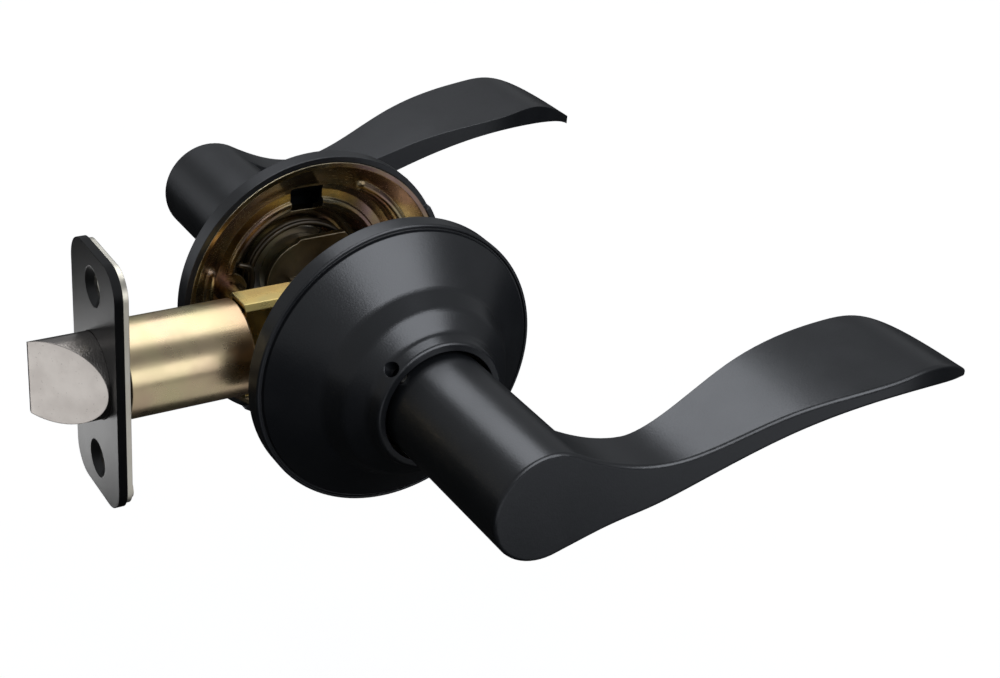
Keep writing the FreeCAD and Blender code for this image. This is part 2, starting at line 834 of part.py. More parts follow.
def build_threaded_posts():
    """Two tubes riveted to the back plate, on the back side of the door."""
    seat = depth(size("floor_depth"))
    sheet_thick = size("plate_sheet")
    parts = []
    for number, side in enumerate((-1, 1), start=1):
        x = side * size("screw_offset").value
        pieces = [
            ("Tube", size("post_radius"), -10.0, seat.value - 0.02),
            ("Shank", size("screw_hole") - 0.05, seat.value - 1.0, (seat + sheet_thick).value + 0.5),
            ("Head", as_size(3.3), (seat + sheet_thick).value + 0.02, (seat + sheet_thick).value + 1.1),
        ]
        cylinders = []
        for name, radius, start, end in pieces:
            cylinder = document.addObject("Part::Cylinder", f"Post{name}{number}")
            drive(cylinder, "Radius", radius)
            cylinder.Height = end - start
            cylinder.Placement = Placement(Vector(x, end, 0), Rotation(Vector(1, 0, 0), 90))
            cylinders.append(cylinder)
        post = document.addObject("Part::MultiFuse", f"Post{number}")
        post.Shapes = cylinders
        thread = document.addObject("Part::Cylinder", f"PostThread{number}")
        drive(thread, "Radius", size("screw_radius") + 0.08)
        thread.Height = 24.0
        thread.Placement = Placement(Vector(x, 12.0, 0), Rotation(Vector(1, 0, 0), 90))
        bored = document.addObject("Part::Cut", f"PostBored{number}")
        bored.Base = post
        bored.Tool = thread
        parts.append(bored)
    posts = document.addObject("Part::Compound", "threaded_posts")
    posts.Label = "threaded_posts"
    posts.Links = parts
    return posts


def build_mounting_screws():
    """Two screws with low domed heads, driven from the front side into the posts."""
    seat = depth(size("floor_depth")) + size("plate_sheet")
    parts = []
    for number, side in enumerate((-1, 1), start=1):
        x = side * size("screw_offset").value
        shank = document.addObject("Part::Cylinder", f"ScrewShank{number}")
        drive(shank, "Radius", size("screw_radius"))
        shank.Height = seat.value + 9.0
        shank.Placement = Placement(Vector(x, 8.0, 0), Rotation(Vector(1, 0, 0), 90))
        head = document.addObject("Part::Cylinder", f"ScrewHead{number}")
        head.Radius = 3.5
        head.Height = 1.9
        head.Placement = Placement(Vector(x, -seat.value - 0.02, 0), Rotation(Vector(1, 0, 0), 90))
        body = document.addObject("Part::Fuse", f"ScrewBody{number}")
        body.Base = shank
        body.Tool = head
        document.recompute()
        rim_y = -seat.value - 0.02 - 1.9

        def is_head_rim(edge, rim_y=rim_y):
            curve = edge.Curve
            return isinstance(curve, Part.Circle) and abs(curve.Radius - 3.5) < 0.01 and (
                abs(curve.Center.y - rim_y) < 0.01)

        rounded = document.addObject("Part::Fillet", f"ScrewRounded{number}")
        rounded.Base = body
        rounded.Edges = [
            (index, 1.3, 1.3) for index, edge in enumerate(body.Shape.Edges, start=1) if is_head_rim(edge)
        ]
        slots = []
        for turn in (0.0, 90.0):
            blade = document.addObject("Part::Box", f"ScrewCross{number}")
            blade.Length, blade.Width, blade.Height = 3.6, 1.5, 0.9
            centred = Placement(Vector(-1.8, -0.75, -0.45), Rotation())
            upright = Placement(Vector(x, rim_y + 0.4, 0), Rotation(Vector(0, 1, 0), turn))
            blade.Placement = upright.multiply(centred)
            slots.append(blade)
        cross = document.addObject("Part::MultiFuse", f"ScrewRecess{number}")
        cross.Shapes = slots
        screw = document.addObject("Part::Cut", f"Screw{number}")
        screw.Base = rounded
        screw.Tool = cross
        parts.append(screw)
    screws = document.addObject("Part::Compound", "mounting_screws")
    screws.Label = "mounting_screws"
    screws.Links = parts
    return screws


# ------------------------------------------------------------------ latch: front end
def along_x(edge):
    direction = edge.tangentAt(edge.FirstParameter)
    return isinstance(edge.Curve, Part.Line) and abs(direction.x) > 0.999


def build_latch_faceplate():
    body = new_body("latch_faceplate")
    front = -size("backset")
    half_width = size("face_width") * 0.5
    half_height = size("face_height") * 0.5
    outline = new_sketch(body, "FaceOutline", "YZ_Plane", front)
    add_rectangle(outline, -half_width, -half_height, half_width, half_height)
    pad(body, outline, "FaceSlab", size("face_thick"))
    dress(body, "Fillet", "FaceCorners", [along_x], size("face_corner"))
    holes = new_sketch(body, "FaceHoles", "YZ_Plane", front)
    gap = 0.15
    add_flat_circle(holes, size("bolt_radius") + gap, size("bolt_flat") + gap, upright=True)
    for side in (-1, 1):
        add_circle(holes, 0.0, side * size("face_screw_half"), size("face_screw_radius"))
    cut(body, holes, "FaceHoleCut", size("face_thick"))

    for side in (-1, 1):
        cone = body.newObject("PartDesign::SubtractiveCone", "Countersink")
        drive(cone, "Radius1", size("countersink_radius"))
        drive(cone, "Radius2", size("face_screw_radius"))
        drive(cone, "Height", size("countersink_depth"))
        place = Vector(front.value, 0, side * size("face_screw_half").value)
        cone.Placement = Placement(place, Rotation(Vector(0, 0, 1), Vector(1, 0, 0)))
        document.recompute()
    return body


def build_latch_backing_plate():
    body = new_body("latch_backing_plate")
    start = -size("backset") + size("face_thick")
    half_width = size("face_width") * 0.5 - 0.5
    half_height = size("face_height") * 0.5 - 0.6
    outline = new_sketch(body, "BackingOutline", "YZ_Plane", start)
    add_rectangle(outline, -half_width, -half_height, half_width, half_height)
    pad(body, outline, "BackingSlab", size("backing_thick"))
    dress(body, "Fillet", "BackingCorners", [along_x], size("face_corner") - 0.5)
    boss = new_sketch(body, "BackingBoss", "YZ_Plane", start + size("backing_thick"))
    add_circle(boss, -8.4, -half_height + 4.0, 2.2)
    pad(body, boss, "BackingBossDisc", 0.8)
    holes = new_sketch(body, "BackingHoles", "YZ_Plane", start)
    add_circle(holes, 0.0, 0.0, size("bolt_radius") + 0.15)
    for side in (-1, 1):
        add_circle(holes, 0.0, side * size("face_screw_half"), size("face_screw_radius") + 0.2)
    cut(body, holes, "BackingHoleCut", size("backing_thick"))
    return body


def build_latch_tube():
    body = new_body("latch_tube")
    start = -size("backset") + size("face_thick") + size("backing_thick")
    end = -size("tube_end")
    profile = new_sketch(body, "TubeProfile", "XY_Plane")
    outline = [
        (start, size("tube_inner")),
        (start, size("tube_radius") + 0.5),
        (start + 0.8, size("tube_radius") + 0.5),
        (start + 0.8, size("tube_radius")),
        (end - 0.5, size("tube_radius")),
        (end, size("tube_radius") - 0.5),
        (end, size("tube_inner")),
    ]
    add_polygon(profile, outline)
    revolve(body, profile, "TubeShell", "H_Axis")
    slot = new_sketch(body, "TubeSlot", "XZ_Plane", size("tube_inner") - 3.0)
    add_rectangle(slot, start - 0.5, -6.0, start + 1.0, 5.0)
    cut(body, slot, "TubeSlotCut", 6.0)
    return body


def build_latch_bolt():
    body = new_body("latch_bolt")
    tip = -size("backset") - size("bolt_throw")
    flat = size("bolt_flat")
    radius = size("bolt_radius")
    shank_end = -51.5
    section = new_sketch(body, "BoltSection", "YZ_Plane", tip)
    add_flat_circle(section, radius, flat, upright=True)
    pad(body, section, "BoltBar", shank_end - tip)
    tail = new_sketch(body, "BoltTail", "YZ_Plane", shank_end)
    add_rectangle(tail, -3.6, -5.9, 3.6, 5.9)
    pad(body, tail, "BoltTailBar", 9.6)
    bevel = new_sketch(body, "BevelCut", "XY_Plane", -12.0)
    add_polygon(bevel, [
        (tip - 2.0, flat + 0.01),
        (tip + 0.0, flat - 0.6),
        (tip + 12.6, -radius - 0.5),
        (tip - 2.0, -radius - 0.5),
    ])
    cut(body, bevel, "BoltBevel", 24.0)
    hook_room = new_sketch(body, "HookRoom", "XZ_Plane", -2.75)
    add_polygon(hook_room, [
        (-59.5, -4.8), (-43.6, -4.8), (-43.6, -2.8), (-40.0, -2.8),
        (-40.0, 2.8), (-43.6, 2.8), (-43.6, 4.8), (-59.5, 4.8),
    ])
    cut(body, hook_room, "HookRoomCut", 14.0)
    return body


# ------------------------------------------------------------------ latch: inside and tail
def build_spring_seat():
    body = new_body("latch_spring_seat")
    start = -size("tube_end") - 3.0
    disc = new_sketch(body, "SeatOutline", "YZ_Plane", start)
    add_circle(disc, 0.0, 0.0, size("tube_inner") - 0.02)
    pad(body, disc, "SeatDisc", 1.2)
    window = new_sketch(body, "SeatWindow", "YZ_Plane", start)
    add_rectangle(window, -3.8, -6.6, 3.8, 6.6)
    cut(body, window, "SeatWindowCut", 1.2)
    return body


def build_bolt_spring():
    points = compression_points(7.75, 19.1, 6.0)
    placement = Placement(Vector(-50.9, 0, 0), Rotation(Vector(0, 0, 1), Vector(1, 0, 0)))
    return wire_coil("latch_bolt_spring", points, 0.5, placement)


def cam_point(reach, lean, sign):
    """A point on the cam's arm, leaning from the upright towards -X by this angle, at rest."""
    angle = math.radians(lean)
    return (-reach * math.sin(angle), sign * reach * math.cos(angle))


def build_latch_cam():
    body = new_body("latch_cam")
    half_length = size("case_half_width") + 0.4
    hub = new_sketch(body, "CamHub", "XZ_Plane", -half_length)
    add_circle(hub, 0.0, 0.0, size("cam_hub"))
    pad(body, hub, "CamHubBar", half_length * 2)
    arms = new_sketch(body, "CamArms", "XZ_Plane", -1.4)
    rest = size("cam_rest").value
    reach = size("cam_reach").value
    for sign in (-1, 1):
        add_polygon(arms, [
            cam_point(5.4, rest, sign), cam_point(reach, rest, sign),
            cam_point(reach, rest + 12.0, sign), cam_point(5.6, rest + 32.0, sign),
        ])
    pad(body, arms, "CamArmPlates", 2.8)
    bore = new_sketch(body, "CamBore", "XZ_Plane", -half_length)
    gap = size("running_gap")
    add_flat_circle(bore, size("spindle_radius") + gap, size("spindle_flat") + gap)
    cut(body, bore, "CamBoreCut", half_length * 2)
    return body


def cross_pin_place():
    """Where the retractor's upper cross pin stands at rest, just clear of the cam's arm."""
    lean = math.radians(size("cam_rest").value)
    height = size("bolt_throw").value / (2 * math.tan(lean))
    pin_radius = 1.0
    slack = 0.25
    x = -height * math.tan(lean) + pin_radius / math.cos(lean) + slack
    return x, height, pin_radius


def build_retractor():
    body = new_body("latch_retractor")
    pin_x, pin_z, pin_radius = cross_pin_place()
    upper = [
        (-46.4, 4.5), (-43.8, 4.5), (-43.8, 2.5), (-40.0, 2.5), (-40.0, 6.4), (-20.0, 6.4), (-20.0, 8.4),
        (pin_x - 1.8, 8.4), (pin_x - 1.8, pin_z + 1.6), (pin_x + 2.0, pin_z + 1.6), (pin_x + 2.0, 6.7),
        (-18.2, 6.7), (-18.2, 4.2), (-35.9, 4.2),
    ]
    lower = [(x, -z) for x, z in reversed(upper)]
    outline = new_sketch(body, "RetractorOutline", "XZ_Plane", -2.6)
    add_polygon(outline, upper + lower)
    pad(body, outline, "RetractorPlate", 5.2)
    middle = new_sketch(body, "RetractorMiddle", "XY_Plane", -15.0)
    add_rectangle(middle, -36.0, -1.6, 12.0, 1.6)
    cut(body, middle, "RetractorMiddleCut", 30.0)
    holes = new_sketch(body, "RetractorPinHoles", "XZ_Plane", -2.6)
    for sign in (-1, 1):
        add_circle(holes, pin_x, sign * pin_z, pin_radius + 0.01)
    cut(body, holes, "RetractorPinHoleCut", 5.2)
    return body


def build_retractor_pins():
    pin_x, pin_z, pin_radius = cross_pin_place()
    pins = []
    for number, sign in enumerate((-1, 1), start=1):
        pin = document.addObject("Part::Cylinder", f"CrossPin{number}")
        pin.Radius = pin_radius
        pin.Height = 5.2
        pin.Placement = Placement(Vector(pin_x, 2.6, sign * pin_z), Rotation(Vector(1, 0, 0), 90))
        pins.append(pin)
    both = document.addObject("Part::Compound", "latch_retractor_pins")
    both.Label = "latch_retractor_pins"
    both.Links = pins
    return both


def build_latch_tail_case():
    body = new_body("latch_tail_case")
    start = -size("tube_end") + 0.1
    end = size("case_end")
    width = size("case_half_width")
    height = size("case_half_height")
    thick = size("case_sheet")
    outline = new_sketch(body, "CaseOutline", "YZ_Plane", start)
    add_rectangle(outline, -width, -height, width, height)
    pad(body, outline, "CaseBlock", end - start)
    dress(body, "Chamfer", "CaseBends", [along_x], 1.2)
    hollow = new_sketch(body, "CaseHollow", "YZ_Plane", start)
    add_rectangle(hollow, thick - width, thick - height, width - thick, height - thick)
    cut(body, hollow, "CaseHollowCut", end - start - thick)
    open_edges = new_sketch(body, "CaseOpenEdges", "XY_Plane", -height)
    add_rectangle(open_edges, -size("case_flange_end"), thick - width, end - thick, width - thick)
    cut(body, open_edges, "CaseOpenEdgeCut", height * 2)
    holes = new_sketch(body, "CaseHoles", "XZ_Plane", -width)
    add_circle(holes, 0.0, 0.0, size("cam_hub") + size("running_gap"))
    for side in (-1, 1):
        add_circle(holes, side * size("screw_offset"), 0.0, size("post_radius") + 0.35)
    cut(body, holes, "CaseHoleCut", width * 2)
    for number, side_start in enumerate((-width, width - thick), start=1):
        tab = new_sketch(body, f"CaseTab{number}", "XZ_Plane", side_start)
        add_rectangle(tab, start - 0.9, -7.7, start + 0.5, 7.7)
        pad(body, tab, f"CaseTabPlate{number}", thick)
    return body


# ------------------------------------------------------------------ assembly
front_builders = [
    build_rose, build_mounting_plate, build_hub_bushing, build_lever_hub, build_snap_ring,
    build_return_spring, build_lever, build_lever_catch, build_catch_spring,
]
shared_builders = [
    build_spindle, build_threaded_posts, build_mounting_screws, build_latch_faceplate,
    build_latch_backing_plate, build_latch_tube, build_latch_bolt, build_bolt_spring, build_spring_seat,
    build_retractor, build_retractor_pins, build_latch_cam, build_latch_tail_case,
]
for build in front_builders:
    front = build()
    nodes.append(front)
    nodes.append(mirror_to_back(front, front.Label.replace("front_", "back_")))
for build in shared_builders:
    nodes.append(build())
document.recompute()

problems = []
for item in document.Objects:
    if "Invalid" in item.State or "Error" in item.State:
        problems.append(f"{item.Label}: {item.State}")
for node in nodes:
    if node.Shape.isNull() or not node.Shape.isValid():
        problems.append(f"{node.Label}: no valid shape")
if problems:
    raise RuntimeError("; ".join(problems))

os.makedirs("parts", exist_ok=True)
for node in nodes:
    node.Shape.exportStep(f"parts/{node.Label}.step")
print(len(nodes), "parts written")
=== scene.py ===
"""Looks for the lever handle lockset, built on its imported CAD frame. All lengths are in metres.

-Y is the side nearest the camera, +Z is up, the latch points to -X and the levers to +X.
"""

import json
import math

import bpy
from mathutils import Matrix, Vector

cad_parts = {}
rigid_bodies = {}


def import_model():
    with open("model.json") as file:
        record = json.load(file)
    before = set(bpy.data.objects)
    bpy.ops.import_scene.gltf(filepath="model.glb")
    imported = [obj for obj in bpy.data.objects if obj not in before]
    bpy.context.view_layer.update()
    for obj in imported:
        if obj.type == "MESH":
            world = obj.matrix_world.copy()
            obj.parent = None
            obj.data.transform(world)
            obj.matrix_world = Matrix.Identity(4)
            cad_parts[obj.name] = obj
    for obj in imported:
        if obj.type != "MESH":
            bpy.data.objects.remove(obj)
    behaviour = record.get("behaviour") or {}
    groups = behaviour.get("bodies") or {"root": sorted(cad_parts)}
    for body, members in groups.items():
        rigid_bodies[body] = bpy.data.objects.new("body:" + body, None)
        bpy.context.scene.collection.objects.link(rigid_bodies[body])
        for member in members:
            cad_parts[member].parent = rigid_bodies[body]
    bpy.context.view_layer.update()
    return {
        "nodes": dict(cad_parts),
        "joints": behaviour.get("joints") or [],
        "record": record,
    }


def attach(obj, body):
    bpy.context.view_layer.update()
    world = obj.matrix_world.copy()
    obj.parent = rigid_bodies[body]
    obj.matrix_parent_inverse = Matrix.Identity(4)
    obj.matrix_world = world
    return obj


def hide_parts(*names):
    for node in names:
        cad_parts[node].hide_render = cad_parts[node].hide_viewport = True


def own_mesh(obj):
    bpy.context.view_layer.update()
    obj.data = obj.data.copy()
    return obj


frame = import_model()
nodes = frame["nodes"]
scene = bpy.context.scene
scene.view_settings.view_transform = "Standard"
MM = 0.001


# ---------------------------------------------------------------- material kit
class Look:
    """A principled material whose inputs are built up node by node. Sizes are in metres on the object."""

    def __init__(self, name="finish"):
        self.material = bpy.data.materials.new(name)
        self.material.use_nodes = True
        self.tree = self.material.node_tree
        self.shader = self.tree.nodes["Principled BSDF"]
        self.place = self.node("ShaderNodeTexCoord").outputs["Object"]

    def node(self, kind, **settings):
        """A new node of this kind, with these settings."""
        made = self.tree.nodes.new(kind)
        for field, value in settings.items():
            setattr(made, field, value)
        return made

    def put(self, source, target):
        """Feed a socket from another socket, or give it a plain value."""
        if isinstance(source, bpy.types.NodeSocket):
            self.tree.links.new(source, target)
        else:
            target.default_value = source

    def set(self, field, source):
        """Feed one of the shader's inputs."""
        self.put(source, self.shader.inputs[field])

    def noise(self, grain, detail=3.0, stretch=(1, 1, 1)):
        """Noise with features about as big as the grain, longer along an axis with a stretch above one."""
        mapping = self.node("ShaderNodeMapping")
        self.put(self.place, mapping.inputs["Vector"])
        mapping.inputs["Scale"].default_value = [1.0 / (grain * s) for s in stretch]
        noise = self.node("ShaderNodeTexNoise")
        noise.inputs["Scale"].default_value = 1.0
        noise.inputs["Detail"].default_value = detail
        self.put(mapping.outputs["Vector"], noise.inputs["Vector"])
        return noise.outputs["Fac"]

    def span(self, source, low, high, out_low=0.0, out_high=1.0):
        """Map low..high of a value to out_low..out_high, smoothly and clamped."""
        node = self.node("ShaderNodeMapRange", interpolation_type="SMOOTHSTEP")
        self.put(source, node.inputs["Value"])
        node.inputs["From Min"].default_value = low
        node.inputs["From Max"].default_value = high
        node.inputs["To Min"].default_value = out_low
        node.inputs["To Max"].default_value = out_high
        return node.outputs["Result"]

    def ramp(self, source, *stops):
        """Colours along a value; each stop is a position and a linear colour."""
        node = self.node("ShaderNodeValToRGB")
        elements = node.color_ramp.elements
        while len(elements) < len(stops):
            elements.new(0.5)
        for element, (position, colour) in zip(elements, stops):
            element.position = position
            element.color = (*colour, 1.0)
        self.put(source, node.inputs["Fac"])
        return node.outputs["Color"]

    def mix(self, share, first, second, blend="MIX"):
        """Blend two colours, each a socket or a linear colour. The node's colours are inputs 6 and 7."""
        node = self.node("ShaderNodeMix", data_type="RGBA", blend_type=blend)
        self.put(share, node.inputs[0])
        for socket, colour in ((node.inputs[6], first), (node.inputs[7], second)):
            self.put((*colour, 1.0) if isinstance(colour, tuple) else colour, socket)
        return node.outputs[2]

    def combine(self, first, operation, second):
        """Join two values, such as with MULTIPLY."""
        node = self.node("ShaderNodeMath", operation=operation)
        self.put(first, node.inputs[0])
        self.put(second, node.inputs[1])
        return node.outputs[0]

    def dot(self, first, second):
        """How far two directions agree: -1 to 1."""
        node = self.node("ShaderNodeVectorMath", operation="DOT_PRODUCT")
        self.put(first, node.inputs[0])
        self.put(second, node.inputs[1])
        return node.outputs["Value"]

    def rounded(self, radius):
        """The surface's normal, as if sharp edges were rounded by this radius."""
        bevel = self.node("ShaderNodeBevel", samples=6)
        bevel.inputs["Radius"].default_value = radius
        return bevel.outputs["Normal"]

    def edges(self, radius):
        """One along sharp edges, fading to zero this far from them."""
        true_normal = self.node("ShaderNodeNewGeometry").outputs["Normal"]
        agreement = self.dot(self.rounded(radius), true_normal)
        return self.span(agreement, 0.80, 0.995, 1.0, 0.0)

    def relief(self, *layers, edge):
        """Bump from (height value, depth in metres) layers, over edges rounded by this radius."""
        normal = self.rounded(edge)
        for height, deep in layers:
            bump = self.node("ShaderNodeBump")
            bump.inputs["Distance"].default_value = deep
            bump.inputs["Strength"].default_value = 1.0
            self.put(height, bump.inputs["Height"])
            self.put(normal, bump.inputs["Normal"])
            normal = bump.outputs["Normal"]
        self.set("Normal", normal)

    def facing(self, way):
        """How far the surface faces this way, from its own untouched normal: -1 to 1."""
        own_normal = self.node("ShaderNodeTexCoord").outputs["Normal"]
        return self.dot(own_normal, Vector(way).normalized())

    def axis(self, letter):
        """The place along X, Y or Z."""
        split = self.node("ShaderNodeSeparateXYZ")
        self.put(self.place, split.inputs[0])
        return split.outputs[letter]


def black_plating(dark, light, rough):
    """Satin black finish on cast or pressed metal: fine orange peel, faint mottling, paler worn edges."""
    look = Look()
    mottle = look.noise(9 * MM, 4.0)
    grain = look.noise(0.4 * MM, 2.0)
    colour = look.mix(look.span(mottle, 0.35, 0.7), dark, light)
    patches = look.span(look.noise(1.5 * MM, 5.0), 0.45, 0.6)
    worn = look.combine(look.edges(0.3 * MM), "MULTIPLY", patches)
    edge_light = 1.6
    pale = tuple(channel * edge_light for channel in light)
    look.set("Base Color", look.mix(worn, colour, pale))
    look.set("Metallic", 0.0)
    look.set("Specular IOR Level", 0.9)
    look.set("Roughness", look.span(mottle, 0.3, 0.75, rough - 0.01, rough + 0.02))
    look.relief((grain, 0.018 * MM), (look.noise(1.4 * MM, 2.0), 0.008 * MM), edge=0.25 * MM)
    return look.material


def plated_metal(stops, rough, blotch=11 * MM, grain=0.0, stain=0.3, worn=(0.80, 0.72, 0.55), end=None):
    """Zinc or brass plating: colours drift over the surface, with stains, drawn scratches, and paler edges
    that are partly wear and partly a painted edge highlight.

    Blotch is how wide the drifting colours are, and grain is the depth of a cast skin. An end is (where it
    starts, where it is full, tint), along X: plating tinted near that end.
    """
    look = Look()
    drift = look.noise(blotch, 2.0)
    colour = look.ramp(look.span(drift, 0.3, 0.7), *stops)
    if end:
        start, full, tint = end
        colour = look.mix(look.span(look.axis("X"), start, full, 0.0, 0.75), colour, tint)
    dirt = look.span(look.noise(blotch * 0.5, 3.0), 0.5, 0.8)
    darker = look.mix(1.0, colour, (0.60, 0.52, 0.44), "MULTIPLY")
    colour = look.mix(look.combine(dirt, "MULTIPLY", stain), colour, darker)
    patches = look.span(look.noise(2 * MM, 3.0), 0.3, 0.6, 0.35, 1.0)
    # Edge mask, partly wear and partly painted highlight: the worn colour brightens the plating along its
    # edges.
    wear_and_edge_highlight = look.combine(look.edges(0.35 * MM), "MULTIPLY", patches)
    look.set("Base Color", look.mix(wear_and_edge_highlight, colour, worn))
    look.set("Metallic", 1.0)
    scratches = look.noise(0.25 * MM, 2.0, (40.0, 1.0, 1.0))
    base = look.span(look.noise(6 * MM, 3.0), 0.3, 0.7, rough - 0.03, rough + 0.05)
    look.set("Roughness", look.combine(base, "ADD", look.span(scratches, 0.60, 0.74, 0.0, 0.06)))
    layers = [(scratches, 0.0025 * MM)]
    if grain:
        layers.append((look.noise(0.4 * MM, 3.0), grain))
    look.relief(*layers, edge=0.3 * MM)
    return look.material


def nickel_bolt():
    """Satin nickel on a zinc casting: the bevel is smooth, the curved sides keep the mould's coarse skin."""
    look = Look()
    bevel_normal = (-0.745, -0.667, 0.0)
    bevel = look.span(look.facing(bevel_normal), 0.95, 0.99)
    cloud = look.noise(6 * MM, 3.0)
    colour = look.mix(look.span(cloud, 0.3, 0.7), (0.56, 0.52, 0.49), (0.66, 0.62, 0.585))
    pits = look.span(look.noise(0.6 * MM, 2.0), 0.66, 0.74)
    look.set("Base Color", look.mix(look.combine(pits, "MULTIPLY", 0.5), colour, (0.30, 0.27, 0.25)))
    look.set("Metallic", 1.0)
    coarse = look.noise(0.4 * MM, 2.0)
    side_roughness, bevel_roughness = (0.24, 0.24, 0.24), (0.42, 0.42, 0.42)
    look.set("Roughness", look.mix(bevel, side_roughness, bevel_roughness))
    sides = look.combine(1.0, "SUBTRACT", bevel)
    skin = look.combine(look.span(coarse, 0.3, 0.7), "MULTIPLY", sides)
    look.relief((skin, 0.014 * MM), (look.noise(0.3 * MM, 2.0), 0.004 * MM), edge=0.3 * MM)
    return look.material


# ---------------------------------------------------------------- materials
YELLOW_ZINC = (
    (0.0, (0.36, 0.24, 0.22)),
    (0.35, (0.43, 0.32, 0.20)),
    (0.65, (0.52, 0.43, 0.26)),
    (1.0, (0.36, 0.34, 0.26)),
)
TUBE_GOLD = (
    (0.0, (0.76, 0.58, 0.40)),
    (0.5, (0.80, 0.66, 0.42)),
    (1.0, (0.76, 0.68, 0.40)),
)
BRASSY = (
    (0.0, (0.62, 0.42, 0.14)),
    (0.5, (0.72, 0.53, 0.18)),
    (1.0, (0.66, 0.55, 0.22)),
)
DARK_ZINC = (
    (0.0, (0.20, 0.16, 0.11)),
    (0.5, (0.30, 0.25, 0.16)),
    (1.0, (0.24, 0.23, 0.15)),
)
BRIGHT = (
    (0.0, (0.58, 0.56, 0.52)),
    (1.0, (0.72, 0.71, 0.68)),
)
DARK_STEEL = (
    (0.0, (0.10, 0.09, 0.08)),
    (1.0, (0.20, 0.18, 0.15)),
)
PALE_ZINC = (
    (0.0, (0.80, 0.76, 0.66)),
    (1.0, (0.88, 0.86, 0.78)),
)

# The finish of each material slot in the record.
finishes = {
    "lever_black": black_plating(dark=(0.0095, 0.0105, 0.0120), light=(0.0118, 0.0128, 0.0145), rough=0.31),
    "rose_black": black_plating(dark=(0.0090, 0.0100, 0.0118), light=(0.0115, 0.0125, 0.0143), rough=0.29),
    "face_black": black_plating(dark=(0.020, 0.020, 0.021), light=(0.026, 0.026, 0.027), rough=0.36),
    # In the plated finishes, worn is the edge colour: partly wear and partly a painted edge highlight.
    "yellow_zinc": plated_metal(YELLOW_ZINC, 0.22, stain=0.5, worn=(0.85, 0.76, 0.55)),
    "tube_gold": plated_metal(
        TUBE_GOLD, 0.28, blotch=14 * MM, stain=0.12, end=(-40 * MM, -26 * MM, (0.60, 0.38, 0.24))
    ),
    "case_brass": plated_metal(BRASSY, 0.26, stain=0.2, worn=(0.95, 0.80, 0.42)),
    "hub_zinc": plated_metal(DARK_ZINC, 0.36, grain=0.03 * MM, stain=0.5, worn=(0.75, 0.66, 0.50)),
    "bright_steel": plated_metal(BRIGHT, 0.30),
    "dark_steel": plated_metal(DARK_STEEL, 0.34, worn=(0.3, 0.27, 0.22)),
    "pale_zinc": plated_metal(PALE_ZINC, 0.38, stain=0.15, worn=(0.9, 0.88, 0.8)),
    "satin_nickel": nickel_bolt(),
}
for slot, finish in finishes.items():
    finish.name = slot

slot_of = {part["node"]: part["material_slot"] for part in frame["record"]["subparts"]}
for node, slot in slot_of.items():
    nodes[node].data.materials.clear()
    nodes[node].data.materials.append(finishes[slot])


# ---------------------------------------------------------------- springs copied onto the fixed side
shown = dict(nodes)  # what is seen for each node


def pressed_spring(node, joint):
    """A copy of a spring's CAD node, shown in its place and attached to the joint's fixed side."""
    move = next(entry for entry in frame["joints"] if entry["name"] == joint)
    axis = Vector(move["axis"])
    source = nodes[node]
    spring = bpy.data.objects.new(node + "_coil", source.data.copy())
    spring.matrix_world = source.matrix_world
    scene.collection.objects.link(spring)
    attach(spring, move["parent"])
    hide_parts(node)
    points = [source.matrix_world @ vertex.co for vertex in source.data.vertices]
    points.sort(key=axis.dot)
    length = axis.dot(points[-1] - points[0])
    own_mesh(spring)
    shown[node] = spring


pressed_spring("latch_bolt_spring", "bolt_slide")
pressed_spring("front_catch_spring", "front_catch_press")
pressed_spring("back_catch_spring", "back_catch_press")


# ---------------------------------------------------------------- stage
def pale_floor():
    """White to the camera, clear from below, and dim to the object so that undersides stay dark."""
    look = Look("pale_floor")
    cloud = look.span(look.noise(50 * MM, 2.0), 0.3, 0.7)
    look.set("Roughness", 0.9)
    look.set("Specular IOR Level", 0.1)
    seen = look.node("ShaderNodeLightPath").outputs["Is Camera Ray"]
    pale = look.mix(cloud, (0.88, 0.88, 0.88), (0.90, 0.90, 0.90))
    look.set("Base Color", look.mix(seen, (0.05, 0.05, 0.05), pale))
    look.set("Emission Color", (1.0, 1.0, 1.0, 1.0))
    look.set("Emission Strength", look.combine(seen, "MULTIPLY", 0.84))
    from_below = look.node("ShaderNodeNewGeometry").outputs["Backfacing"]
    look.set("Alpha", look.combine(1.0, "SUBTRACT", from_below))
    mesh = bpy.data.meshes.new("floor")
    half, level = 6.0, -0.16
    corners = [(-half, -half, level), (half, -half, level), (half, half, level), (-half, half, level)]
    mesh.from_pydata(corners, [], [(0, 1, 2, 3)])
    floor = bpy.data.objects.new("floor", mesh)
    scene.collection.objects.link(floor)
    mesh.materials.append(look.material)


WHITE = (1.0, 1.0, 1.0)
COOL = (0.95, 0.99, 1.07)


def direction(azimuth, elevation):
    """Which way these angles in degrees point: azimuth 0 is -Y, 90 is +X."""
    turn, rise = math.radians(azimuth), math.radians(elevation)
    return Vector((math.sin(turn) * math.cos(rise), -math.cos(turn) * math.cos(rise), math.sin(rise)))


def in_slots(*slots):
    """The nodes that have one of these material slots."""
    return [node for node, slot in slot_of.items() if slot in slots]


def soft_box(name, azimuth, elevation, away, size, glow, lit, centre=(0, 0, 0), tint=WHITE):
    """A soft box this far away from its centre point, facing back to it, which lights only some nodes.

    Size is its width and height, and glow its brightness, where 1 is a white card.
    """
    back = direction(azimuth, elevation)
    width, height = size
    data = bpy.data.lights.new(name, "AREA")
    data.shape = "RECTANGLE"
    data.size, data.size_y = width, height
    data.energy = glow * width * height * math.pi
    data.color = tint
    lamp = bpy.data.objects.new(name, data)
    scene.collection.objects.link(lamp)
    lamp.visible_camera = False
    lamp.location = Vector(centre) + back * away
    lamp.rotation_mode = "QUATERNION"
    lamp.rotation_quaternion = back.to_track_quat("Z", "Y")
    receivers = bpy.data.collections.new(name + "_lights")
    for node in lit:
        receivers.objects.link(shown[node])
    lamp.light_linking.receiver_collection = receivers


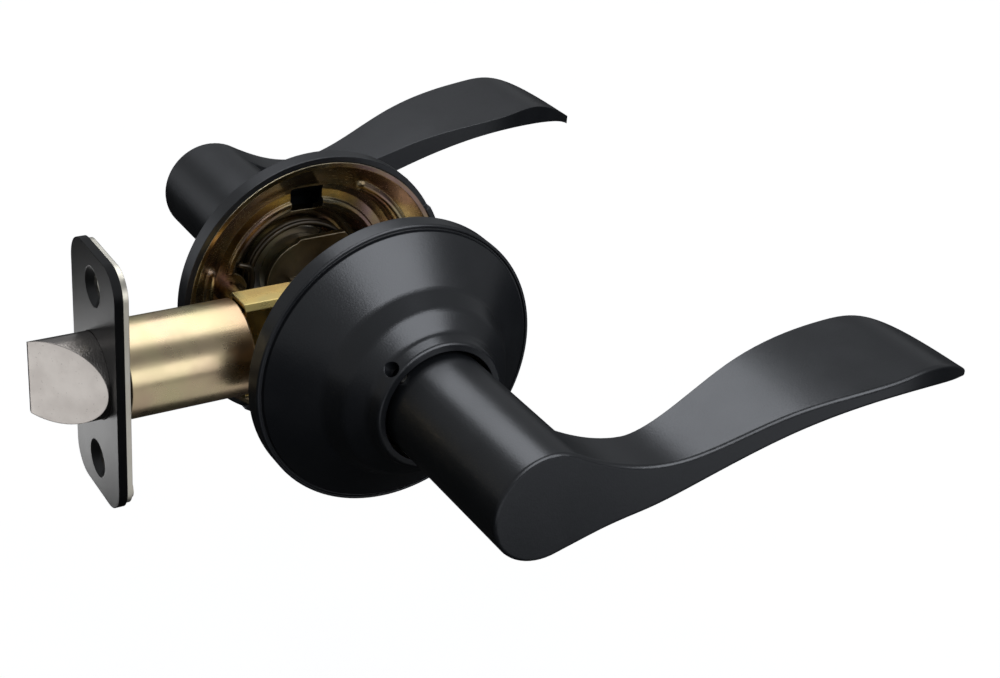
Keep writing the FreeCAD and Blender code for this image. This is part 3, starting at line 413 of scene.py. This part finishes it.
def white_room():
    """White to the camera, a dimmer even grey to the object."""
    world = bpy.data.worlds.new("studio")
    scene.world = world
    world.use_nodes = True
    tree = world.node_tree
    tree.nodes.clear()
    path = tree.nodes.new("ShaderNodeLightPath")
    seen = tree.nodes.new("ShaderNodeBackground")
    seen.inputs["Color"].default_value = (1.0, 1.0, 1.0, 1.0)
    ambient = tree.nodes.new("ShaderNodeBackground")
    ambient.inputs["Color"].default_value = (0.93, 0.96, 1.0, 1.0)
    ambient.inputs["Strength"].default_value = 0.2
    both = tree.nodes.new("ShaderNodeMixShader")
    output = tree.nodes.new("ShaderNodeOutputWorld")
    tree.links.new(path.outputs["Is Camera Ray"], both.inputs[0])
    tree.links.new(ambient.outputs[0], both.inputs[1])
    tree.links.new(seen.outputs[0], both.inputs[2])
    tree.links.new(both.outputs[0], output.inputs[0])


def photo_camera(azimuth, elevation, roll, aim, distance, lens):
    """A camera that looks at the aim point from this direction, turned about its own axis by the roll."""
    data = bpy.data.cameras.new("camera")
    data.sensor_width = 36.0
    data.lens = lens
    data.clip_start = 0.01
    data.clip_end = 50.0
    camera = bpy.data.objects.new("camera", data)
    scene.collection.objects.link(camera)
    back = direction(azimuth, elevation)
    level = back.to_track_quat("Z", "Y").to_matrix().to_4x4()
    tilt = Matrix.Rotation(math.radians(roll), 4, "Z")
    camera.matrix_world = Matrix.Translation(Vector(aim) + back * distance) @ level @ tilt
    scene.camera = camera


pale_floor()
white_room()

# Each kind of finish has its own lights. The first two numbers are azimuth and elevation.
black = in_slots("lever_black", "rose_black")
plates = in_slots("yellow_zinc", "hub_zinc", "dark_steel")
bright = in_slots("tube_gold", "case_brass", "bright_steel", "pale_zinc")
near = [node for node in black if node.startswith("front")]
far = [node for node in black if node.startswith("back")]
latch = (-60 * MM, 0.0, 0.0)
case_top = (-22 * MM, 0.0, 11.6 * MM)
soft_box("key", 16, 38, away=0.9, size=(0.76, 0.8), glow=2.4, lit=black, tint=COOL)
soft_box("back_near", 172, 58, away=0.9, size=(0.6, 0.6), glow=2.15, lit=near, tint=COOL)
soft_box("back_far", 174, 60, away=0.9, size=(0.7, 0.7), glow=1.25, lit=far, tint=COOL)
soft_box("left_far", -130, 8, away=0.8, size=(0.5, 0.5), glow=0.55, lit=far, tint=COOL)
soft_box("front_low", 10, -22, away=0.34, size=(0.5, 0.14), glow=0.42, lit=black, tint=COOL)
soft_box("key_bright", 20, 6, away=0.6, size=(0.7, 0.36), glow=1.3, lit=bright)
soft_box("top_bright", 140, 66, away=0.8, size=(1.0, 0.8), glow=1.5, lit=bright)
soft_box("low_bright", 25, -55, away=0.15, size=(0.3, 0.2), glow=0.4, lit=bright)
soft_box("key_plates", 20, 38, away=0.9, size=(0.8, 0.8), glow=0.6, lit=plates)
soft_box("top_plates", -60, 70, away=0.7, size=(0.5, 0.5), glow=3.2, lit=plates)
soft_box("low_plates", 20, -22, away=0.34, size=(0.4, 0.16), glow=0.5, lit=plates)
soft_box("bolt_card", -79, -29, away=0.24, size=(0.2, 0.12), glow=1.45, lit=["latch_bolt"], centre=latch)
soft_box("bolt_top", 140, 66, away=0.8, size=(0.8, 0.7), glow=0.7, lit=["latch_bolt"], centre=latch)
soft_box("face_card", -161, -39, away=0.26, size=(0.2, 0.12), glow=1.7, lit=["latch_faceplate"], centre=latch)
soft_box(
    "case_card", 146, 30, away=0.02, size=(0.02, 0.014), glow=0.6, lit=["latch_tail_case"], centre=case_top
)
photo_camera(-33.747, 28.094, roll=5.217, aim=(0.02777, -0.01891, -0.00055), distance=0.39761, lens=63.272)
